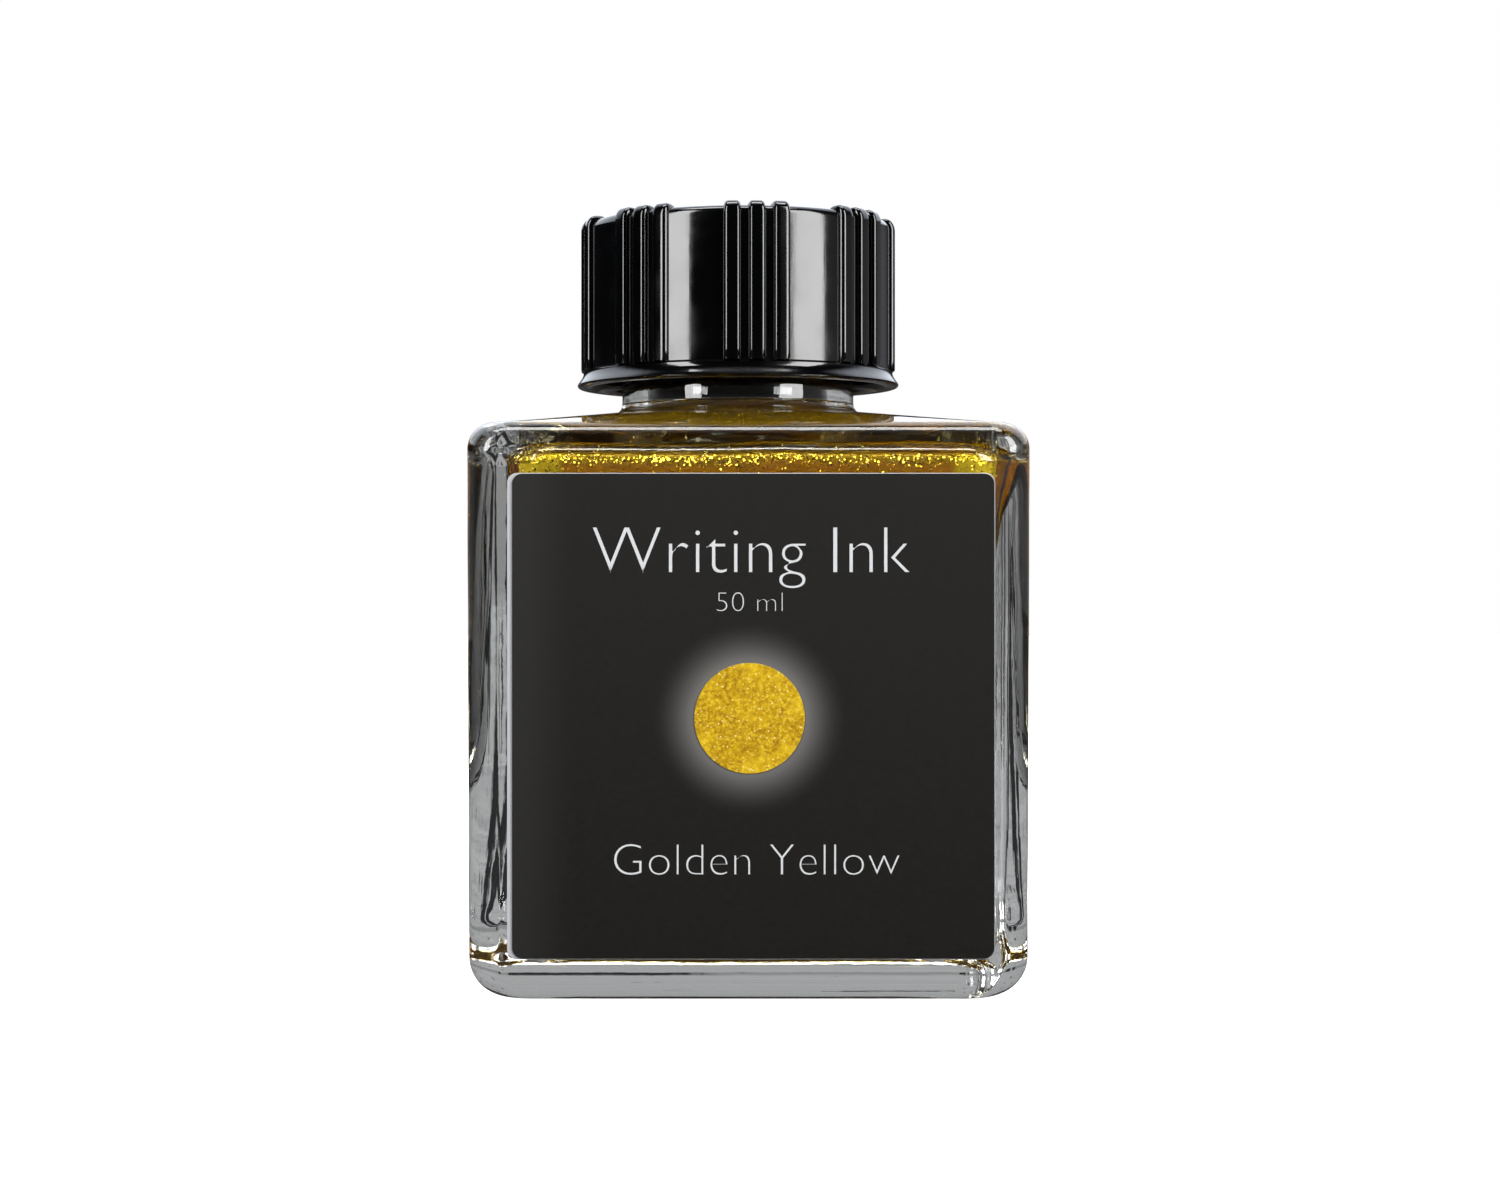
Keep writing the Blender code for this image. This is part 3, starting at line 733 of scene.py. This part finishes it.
def build_glass_and_ink():
    outer, cavity = glass_surfaces()
    bottle = skin("bottle_glass", np.concatenate([outer, cavity]), glass_look(), None)
    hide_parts("glass_bottle")
    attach(bottle, "bottle")

    normals = outward_normals(cavity)
    wet = cavity[:, 0, 2] < INK_LEVEL_Z
    wall = (cavity - normals * INK_OVERLAP)[wet]
    top = wall[0]
    centre = np.array([0.0, 0.0, INK_LEVEL_Z])
    surface = []
    for share, lift in MENISCUS:
        ring = centre + (top - centre) * share
        ring[:, 2] = INK_LEVEL_Z - INK_SURFACE_DROP + lift
        surface.append(ring)
    ink = skin("ink_body", np.concatenate([np.array(surface), wall]), ink_look(), None, flip=True)
    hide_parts("ink_fill")
    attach(ink, "bottle")

    cloud_rings = (cavity + normals * CLOUD_INSET)[cavity[:, 0, 2] < INK_LEVEL_Z - CLOUD_INSET]
    cloud = skin("shimmer_cloud", cloud_rings, shimmer_look(), None, flip=True)
    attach(cloud, "bottle")
    flakes = scatter_flakes(cavity, normals)
    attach(flakes, "bottle")


def scatter_flakes(cavity, normals):
    """Tiny flat gold bipyramids just inside the walls, densest near the top of the ink."""
    chance = random.Random(7)
    points = []
    faces = []
    levels = np.nonzero(cavity[:, 0, 2] < INK_LEVEL_Z - FLAKE_TOP_MARGIN)[0]
    low, high = FLAKE_BAND_Z
    band_levels = [level for level in levels if low < cavity[level, 0, 2] < high]
    for _ in range(FLAKE_COUNT):
        level = chance.choice(band_levels if chance.random() < FLAKE_BAND_SHARE else levels)
        step = chance.randrange(cavity.shape[1])
        depth = FLAKE_DEPTH + FLAKE_DEPTH_SPREAD * chance.random() ** 2
        centre = Vector(cavity[level, step] + normals[level, step] * depth)
        centre += Vector([chance.gauss(0.0, FLAKE_SCATTER) for _ in range(3)])
        facing = Vector(normals[level, step]) + Vector([chance.gauss(0.0, FLAKE_TILT) for _ in range(3)])
        facing.normalize()
        side = facing.orthogonal().normalized()
        other = facing.cross(side)
        size = chance.uniform(*FLAKE_SIZE)
        first = len(points)
        turn = chance.uniform(0.0, QUARTER)
        for corner in range(4):
            angle = turn + QUARTER * corner
            points.append(centre + (side * math.cos(angle) + other * math.sin(angle)) * size)
        points.append(centre + facing * size * FLAKE_THICKNESS)
        points.append(centre - facing * size * FLAKE_THICKNESS)
        for corner in range(4):
            after = first + (corner + 1) % 4
            faces.append((first + corner, after, first + 4))
            faces.append((after, first + corner, first + 5))
    return add_mesh("gold_flakes", points, faces, flake_look(), 10.0)


# ---------------------------------------------------------------- cap


def rib_angles():
    """(angle, share of rib height) round the cap, with rounded shoulders on every rib."""
    rows = []
    sector = 2.0 * math.pi / RIB_CLUSTERS
    flank = RIB_BASE_HALF - RIB_TOP_HALF
    offsets = []
    for share in (1.0, 0.96, 0.8, 0.55, 0.3, 0.0):
        offsets.append((-(RIB_TOP_HALF + flank * share), math.sqrt(max(0.0, 1.0 - share ** 2))))
    crest = [(offset, height) for offset, height in offsets]
    crest += [(-RIB_TOP_HALF * 0.5, 1.0), (0.0, 1.0), (RIB_TOP_HALF * 0.5, 1.0)]
    crest += [(-offset, height) for offset, height in reversed(offsets)]
    reach = (RIBS_PER_CLUSTER - 1) / 2 * RIB_PITCH
    for cluster in range(RIB_CLUSTERS):
        middle = FRONT_RIB_ANGLE + sector * cluster
        for rib in range(RIBS_PER_CLUSTER):
            centre = middle - reach + rib * RIB_PITCH
            rows += [(centre + offset, height) for offset, height in crest]
        gap_start = middle + reach + RIB_BASE_HALF
        gap_end = middle + sector - reach - RIB_BASE_HALF
        steps = 10
        rows += [(mix(gap_start, gap_end, step / steps), 0.0) for step in range(1, steps)]
    return rows


def cap_profile():
    """(radius, z, rib reach out, rib reach up) from the ceiling down the bore and up the outside."""
    rows = [(0.004, CAP_CEILING_Z, 0.0, 0.0), (0.010, CAP_CEILING_Z, 0.0, 0.0)]
    for step in range(5):
        angle = QUARTER * step / 4
        radius = CAP_BORE_RADIUS - CEILING_FILLET * (1.0 - math.sin(angle))
        rows.append((radius, CAP_CEILING_Z - CEILING_FILLET * (1.0 - math.cos(angle)), 0.0, 0.0))
    count = 60
    low = CAP_BOTTOM_Z + MOUTH_CHAMFER
    for step in range(1, count):
        rows.append((CAP_BORE_RADIUS, mix(CAP_CEILING_Z - CEILING_FILLET, low, step / count), 0.0, 0.0))
    rows.append((CAP_BORE_RADIUS, low, 0.0, 0.0))
    rows.append((CAP_BORE_RADIUS + 0.00035, CAP_BOTTOM_Z + 0.00008, 0.0, 0.0))
    rows.append((CAP_BORE_RADIUS + 0.0005, CAP_BOTTOM_Z, 0.0, 0.0))
    for step in range(7):
        angle = -QUARTER + QUARTER * step / 6
        radius = FLANGE_RADIUS - FLANGE_ROLL + FLANGE_ROLL * math.cos(angle)
        rows.append((radius, CAP_BOTTOM_Z + FLANGE_ROLL + FLANGE_ROLL * math.sin(angle), 0.0, 0.0))
    wall = CAP_WALL_RADIUS
    ledge_z = FLANGE_TOP_Z - 0.00015
    steps = 10
    for step in range(1, steps + 1):
        share = step / steps
        radius = mix(FLANGE_RADIUS, FLANGE_NECK_RADIUS, math.sin(QUARTER * share) ** 1.15)
        rows.append((radius, mix(CAP_BOTTOM_Z + FLANGE_ROLL, ledge_z, share), 0.0, 0.0))
    rows.append((FLANGE_NECK_RADIUS - 0.00008, ledge_z + 0.00006, 0.0, 0.0))
    rows.append((wall + 0.00002, ledge_z + 0.00002, 0.0, 0.0))
    rows.append((wall - 0.00003, FLANGE_TOP_Z - 0.00005, 0.0, 0.0))
    rows.append((wall, FLANGE_TOP_Z, RIB_HEIGHT * 0.85, 0.0))
    rows.append((wall, FLANGE_TOP_Z + 0.00008, RIB_HEIGHT, 0.0))
    start = CAP_TOP_Z - TOP_BEVEL
    for step in range(1, 16):
        rows.append((wall, mix(FLANGE_TOP_Z + 0.00008, start, step / 15), RIB_HEIGHT, 0.0))
    for step in range(1, 9):
        angle = QUARTER * step / 8
        radius = wall - TOP_BEVEL * (1.0 - math.cos(angle))
        height = start + TOP_BEVEL * math.sin(angle)
        rows.append((radius, height, RIB_HEIGHT * math.cos(angle * 0.55), RIB_TOP_RISE * math.sin(angle)))
    for share, rise in ((0.3, 1.0), (0.6, 0.85), (0.85, 0.45), (1.0, 0.0)):
        radius = wall - TOP_BEVEL * (1.0 + share)
        rows.append((radius, CAP_TOP_Z, RIB_HEIGHT * 0.4 * (1.0 - share), RIB_TOP_RISE * rise))
    for radius in (TOP_DISC_RADIUS, 0.0122, 0.0118, 0.008, 0.004):
        dip = TOP_DISC_DIP * smooth_step((TOP_DISC_RADIUS - radius) / 0.0006)
        rows.append((radius, CAP_TOP_Z - dip, 0.0, 0.0))
    return rows


def build_cap():
    angles = rib_angles()
    rings = []
    for radius, height, out, up in cap_profile():
        ring = []
        inner = radius <= CAP_BORE_RADIUS + 1e-6 and CAP_BOTTOM_Z + 0.0005 < height < CAP_CEILING_Z - 0.0003
        for angle, share in angles:
            reach = radius + out * share
            if inner:
                reach -= CAP_THREAD["depth"] * helix_share(angle, height, CAP_THREAD)
            ring.append((reach * math.cos(angle), reach * math.sin(angle), height + up * share))
        rings.append(ring)
    cap = skin("ribbed_cap", rings, cap_look(), 38.0)
    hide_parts("screw_cap")
    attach(cap, "cap")


def dress_liner():
    for node, look in (("liner_board", board_look()), ("liner_film", film_look())):
        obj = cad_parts[node]
        obj.data.materials.clear()
        obj.data.materials.append(look)


# ---------------------------------------------------------------- label


def rounded_outline(x_range, z_range, radius, steps=10):
    points = []
    for corner in range(4):
        centre_x = x_range[1] - radius if corner in (0, 3) else x_range[0] + radius
        centre_z = z_range[1] - radius if corner in (0, 1) else z_range[0] + radius
        for step in range(steps + 1):
            angle = QUARTER * (corner + step / steps)
            points.append((centre_x + radius * math.cos(angle), centre_z + radius * math.sin(angle)))
    return points


def round_outline(centre, radius, steps=128):
    points = []
    for step in range(steps):
        angle = 2.0 * math.pi * step / steps
        points.append((centre[0] + radius * math.cos(angle), centre[1] + radius * math.sin(angle)))
    return points


def plate(name, outline, back_y, thickness, look):
    """An upright sheet facing -Y with a fine bevel round its front edge."""
    middle = np.mean(outline, axis=0)
    bevel = thickness * 0.3
    rings = []
    for y, pull in ((back_y, 0.0), (back_y - thickness + bevel, 0.0), (back_y - thickness, bevel)):
        ring = []
        for x, z in outline:
            away = Vector((x - middle[0], z - middle[1]))
            away -= away.normalized() * pull
            ring.append((middle[0] + away.x, y, middle[1] + away.y))
        rings.append(ring)
    return skin(name, rings, look, 30.0)


def lettering(name, words, size, x_range, base_z, front_y, thin, look):
    """Raised print of plain words, fitted between two X positions."""
    curve = bpy.data.curves.new(name, "FONT")
    curve.body = words
    curve.size = size
    curve.offset = thin
    curve.extrude = PRINT_THICKNESS
    curve.resolution_u = 6
    text = bpy.data.objects.new(name, curve)
    bpy.context.scene.collection.objects.link(text)
    bpy.context.view_layer.update()
    graph = bpy.context.evaluated_depsgraph_get()
    mesh = bpy.data.meshes.new_from_object(text.evaluated_get(graph))
    bpy.data.objects.remove(text, do_unlink=True)
    low = min(v.co.x for v in mesh.vertices)
    high = max(v.co.x for v in mesh.vertices)
    stretch = (x_range[1] - x_range[0]) / (high - low)
    for vertex in mesh.vertices:
        x, y, z = vertex.co
        vertex.co = (x_range[0] + (x - low) * stretch, front_y - z, base_z + y)
    mesh.materials.clear()
    mesh.materials.append(look)
    obj = bpy.data.objects.new(name, mesh)
    bpy.context.scene.collection.objects.link(obj)
    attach(obj, "bottle")


def label_plate(name, node, look, radius=LABEL_CORNER_RADIUS):
    """A bevelled sheet in the place of a label node, a rounded rectangle or a disc."""
    low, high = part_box(node)
    if radius is None:
        outline = round_outline(SPOT_CENTRE, SPOT_RADIUS)
    else:
        outline = rounded_outline((low[0], high[0]), (low[2], high[2]), radius)
    obj = plate(name, outline, high[1], high[1] - low[1], look)
    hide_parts(node)
    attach(obj, "bottle")
    return obj


def build_label():
    label_plate("paper_stock", "label_paper", paper_look())
    label_plate("black_face", "label_black_face", black_print_look())
    label_plate("glitter_spot", "gold_colour_spot", gold_spot_look(), None)
    pale = lettering_look()
    front = BLACK_LOW[1] - 0.000006
    for name, words, size, ends, height, thin in WORD_LINES:
        lettering(name, words, size, ends, BLACK_LOW[2] + height, front, thin, pale)


# ---------------------------------------------------------------- studio


def shown_or_studio(nodes, shown, studio, through):
    """White to the camera, the studio's tones in reflections, and greys for rays that crossed glass."""
    path = nodes.node("ShaderNodeLightPath").outputs
    crossed = nodes.math("GREATER_THAN", path["Transmission Depth"], 0.5)
    trapped = nodes.map(path["Ray Depth"], 4.0, 8.0, 0.0, 0.6)
    through = nodes.mix(trapped, through, (0.85, 0.85, 0.86))
    tone = nodes.mix(crossed, studio, through)
    neck = nodes.math("GREATER_THAN", path["Transmission Depth"], 3.5)
    neck = nodes.math("MULTIPLY", neck, nodes.math("LESS_THAN", path["Diffuse Depth"], 0.5))
    tone = nodes.mix(neck, tone, (0.004, 0.004, 0.005))
    inner = nodes.math("MULTIPLY", crossed, nodes.math("GREATER_THAN", path["Diffuse Depth"], 0.5))
    tone = nodes.mix(inner, tone, (0.55, 0.55, 0.55))
    glow = nodes.node("ShaderNodeEmission", {"Color": tone}).outputs[0]
    return nodes.node("ShaderNodeMixShader", {0: path["Is Camera Ray"], 1: glow, 2: shown}).outputs[0]


def smear(nodes, turn, height, turn_factor, height_factor, scale, detail):
    """Noise over a direction's turn and height, drawn out along one of them."""
    across = nodes.math("MULTIPLY", turn, turn_factor)
    up = nodes.math("MULTIPLY", height, height_factor)
    place = nodes.node("ShaderNodeCombineXYZ", {0: across, 1: up}).outputs[0]
    made = nodes.node("ShaderNodeTexNoise", {"Vector": place, "Scale": scale, "Detail": detail})
    return made.outputs["Fac"]


def flagged_grey(nodes, parts):
    """Grey surroundings broken by two upright dark flags and uneven streaks, from a direction's parts."""
    turn = nodes.math("ARCTAN2", parts["X"], parts["Y"])
    streak = smear(nodes, turn, parts["Z"], 9.0, 5.0, 1.6, 3.0)
    line = smear(nodes, turn, parts["Z"], 1.0, 60.0, 1.3, 2.0)
    tone = nodes.mix(nodes.map(line, 0.35, 0.65), (0.33, 0.33, 0.332), (0.46, 0.46, 0.463))
    above = nodes.math("MULTIPLY", nodes.map(parts["Z"], 0.0, 0.012), nodes.map(parts["Z"], 0.070, 0.055))
    tone = nodes.mix(above, tone, (0.27, 0.27, 0.272))
    tone = nodes.mix(nodes.map(streak, 0.60, 0.68, kind="SMOOTHSTEP"), tone, (0.06, 0.06, 0.061))
    wander = nodes.math("MULTIPLY_ADD", nodes.math("SUBTRACT", streak, 0.5), 0.16, turn)
    for centre, reach in FLAGS:
        away = nodes.math("ABSOLUTE", nodes.math("SUBTRACT", wander, math.radians(centre)))
        flag = nodes.map(away, math.radians(reach), math.radians(reach * 0.6), kind="SMOOTHSTEP")
        flag = nodes.math("MULTIPLY", flag, nodes.map(parts["Z"], 0.075, 0.055))
        tone = nodes.mix(flag, tone, (0.02, 0.02, 0.021))
    return tone


def build_world():
    """A dark room with a large bluish panel above and behind the bottle and a dimmer one to its right."""
    world = bpy.data.worlds.new("studio")
    bpy.context.scene.world = world
    world.use_nodes = True
    nodes = Nodes(world.node_tree)
    nodes.tree.nodes.clear()
    way = nodes.node("ShaderNodeTexCoord").outputs["Generated"]
    parts = nodes.node("ShaderNodeSeparateXYZ", {0: way}).outputs
    behind = nodes.map(parts["Y"], 0.05, 0.4, kind="SMOOTHSTEP")
    high = nodes.map(parts["Z"], 0.19, 0.25, kind="SMOOTHSTEP")
    panel = nodes.math("MULTIPLY", high, behind)
    overhead = nodes.map(parts["Z"], 0.90, 0.96, kind="SMOOTHSTEP")
    right = nodes.map(parts["X"], 0.35, 0.7, kind="SMOOTHSTEP")
    right = nodes.math("MULTIPLY", right, nodes.map(parts["Z"], 0.5, 0.1))
    backdrop = nodes.math("MULTIPLY", behind, nodes.map(parts["Z"], 0.070, 0.050, kind="SMOOTHSTEP"))
    tone = nodes.mix(right, (0.008, 0.008, 0.009), (0.30, 0.30, 0.32))
    tone = nodes.mix(backdrop, tone, (0.26, 0.26, 0.265))
    tone = nodes.mix(panel, tone, (1.95, 2.08, 2.30))
    tone = nodes.mix(overhead, tone, (0.30, 0.31, 0.33))
    grey = flagged_grey(nodes, parts)
    front = nodes.map(parts["Y"], 0.40, 0.20, kind="SMOOTHSTEP")
    grey = nodes.mix(front, grey, (0.10, 0.10, 0.101))
    grey = nodes.mix(overhead, grey, (0.75, 0.76, 0.78))
    shown = nodes.node("ShaderNodeBackground", {"Color": (1.0, 1.0, 1.0, 1.0)}).outputs[0]
    output = nodes.node("ShaderNodeOutputWorld")
    nodes.tree.links.new(shown_or_studio(nodes, shown, tone, grey), output.inputs["Surface"])


def build_floor():
    """A pale sweep: near white to the camera, with a trace of contact shadow, and grey in the glass."""
    mesh = bpy.data.meshes.new("floor")
    reach = FLOOR_REACH
    corners = [(-reach, -reach, 0.0), (reach, -reach, 0.0), (reach, reach, 0.0), (-reach, reach, 0.0)]
    mesh.from_pydata(corners, [], [(0, 1, 2, 3)])
    floor = bpy.data.objects.new("floor", mesh)
    floor.location.z = -FLOOR_DROP
    bpy.context.scene.collection.objects.link(floor)
    material = bpy.data.materials.new("pale_floor")
    material.use_nodes = True
    nodes = Nodes(material.node_tree)
    nodes.tree.nodes.clear()
    place = nodes.node("ShaderNodeTexCoord").outputs["Object"]
    eye = nodes.node("ShaderNodeVectorMath", {0: place, 1: (0.0, 0.0, -0.035)}, operation="ADD").outputs[0]
    way = nodes.node("ShaderNodeVectorMath", {0: eye}, operation="NORMALIZE").outputs[0]
    grey = flagged_grey(nodes, nodes.node("ShaderNodeSeparateXYZ", {0: way}).outputs)
    matt = nodes.node("ShaderNodeBsdfDiffuse", {"Color": (0.8, 0.8, 0.8, 1.0)}).outputs[0]
    glow = nodes.node("ShaderNodeEmission", {"Color": (1.0, 1.0, 1.0, 1.0), "Strength": 0.96}).outputs[0]
    shown = nodes.node("ShaderNodeAddShader", {0: matt, 1: glow}).outputs[0]
    output = nodes.node("ShaderNodeOutputMaterial")
    made = shown_or_studio(nodes, shown, (0.06, 0.06, 0.062), grey)
    nodes.tree.links.new(made, output.inputs["Surface"])
    mesh.materials.append(material)


def area_light(name, place, size, power):
    light = bpy.data.lights.new(name, "AREA")
    light.shape = "RECTANGLE"
    light.size, light.size_y = size
    light.energy = power
    obj = bpy.data.objects.new(name, light)
    obj.location = place
    bpy.context.scene.collection.objects.link(obj)
    return obj


def softbox(name, azimuth, width, power):
    """An upright rectangular light facing the bottle's axis; azimuth 0 is towards the camera."""
    turn = math.radians(azimuth)
    x, y = SOFTBOX_DISTANCE * math.sin(turn), -SOFTBOX_DISTANCE * math.cos(turn)
    place = (x, y, (SOFTBOX_FOOT_Z + SOFTBOX_HEAD_Z) / 2)
    light = area_light(name, place, (width, SOFTBOX_HEAD_Z - SOFTBOX_FOOT_Z), power)
    light.rotation_euler = Vector((-x, -y, 0.0)).to_track_quat("-Z", "Y").to_euler()


def build_lights():
    softbox("left_softbox", -47.0, 0.21, 6.65)
    softbox("right_softbox", 52.0, 0.31, 9.6)
    area_light("top_softbox", TOP_SOFTBOX_PLACE, TOP_SOFTBOX_SIZE, 3.6)


def build_camera():
    data = bpy.data.cameras.new("camera")
    data.sensor_width = 36.0
    data.lens = CAMERA_LENS
    data.shift_x, data.shift_y = CAMERA_SHIFT
    data.clip_start = 0.01
    camera = bpy.data.objects.new("camera", data)
    camera.location = CAMERA_PLACE
    camera.rotation_euler = (QUARTER, 0.0, 0.0)
    bpy.context.scene.collection.objects.link(camera)
    bpy.context.scene.camera = camera


build_glass_and_ink()
build_cap()
dress_liner()
build_label()
build_world()
build_floor()
build_lights()
build_camera()
bpy.context.scene.view_settings.view_transform = "Standard"
for kind in ("max_bounces", "transmission_bounces", "glossy_bounces"):
    setattr(bpy.context.scene.cycles, kind, GLASS_BOUNCES)
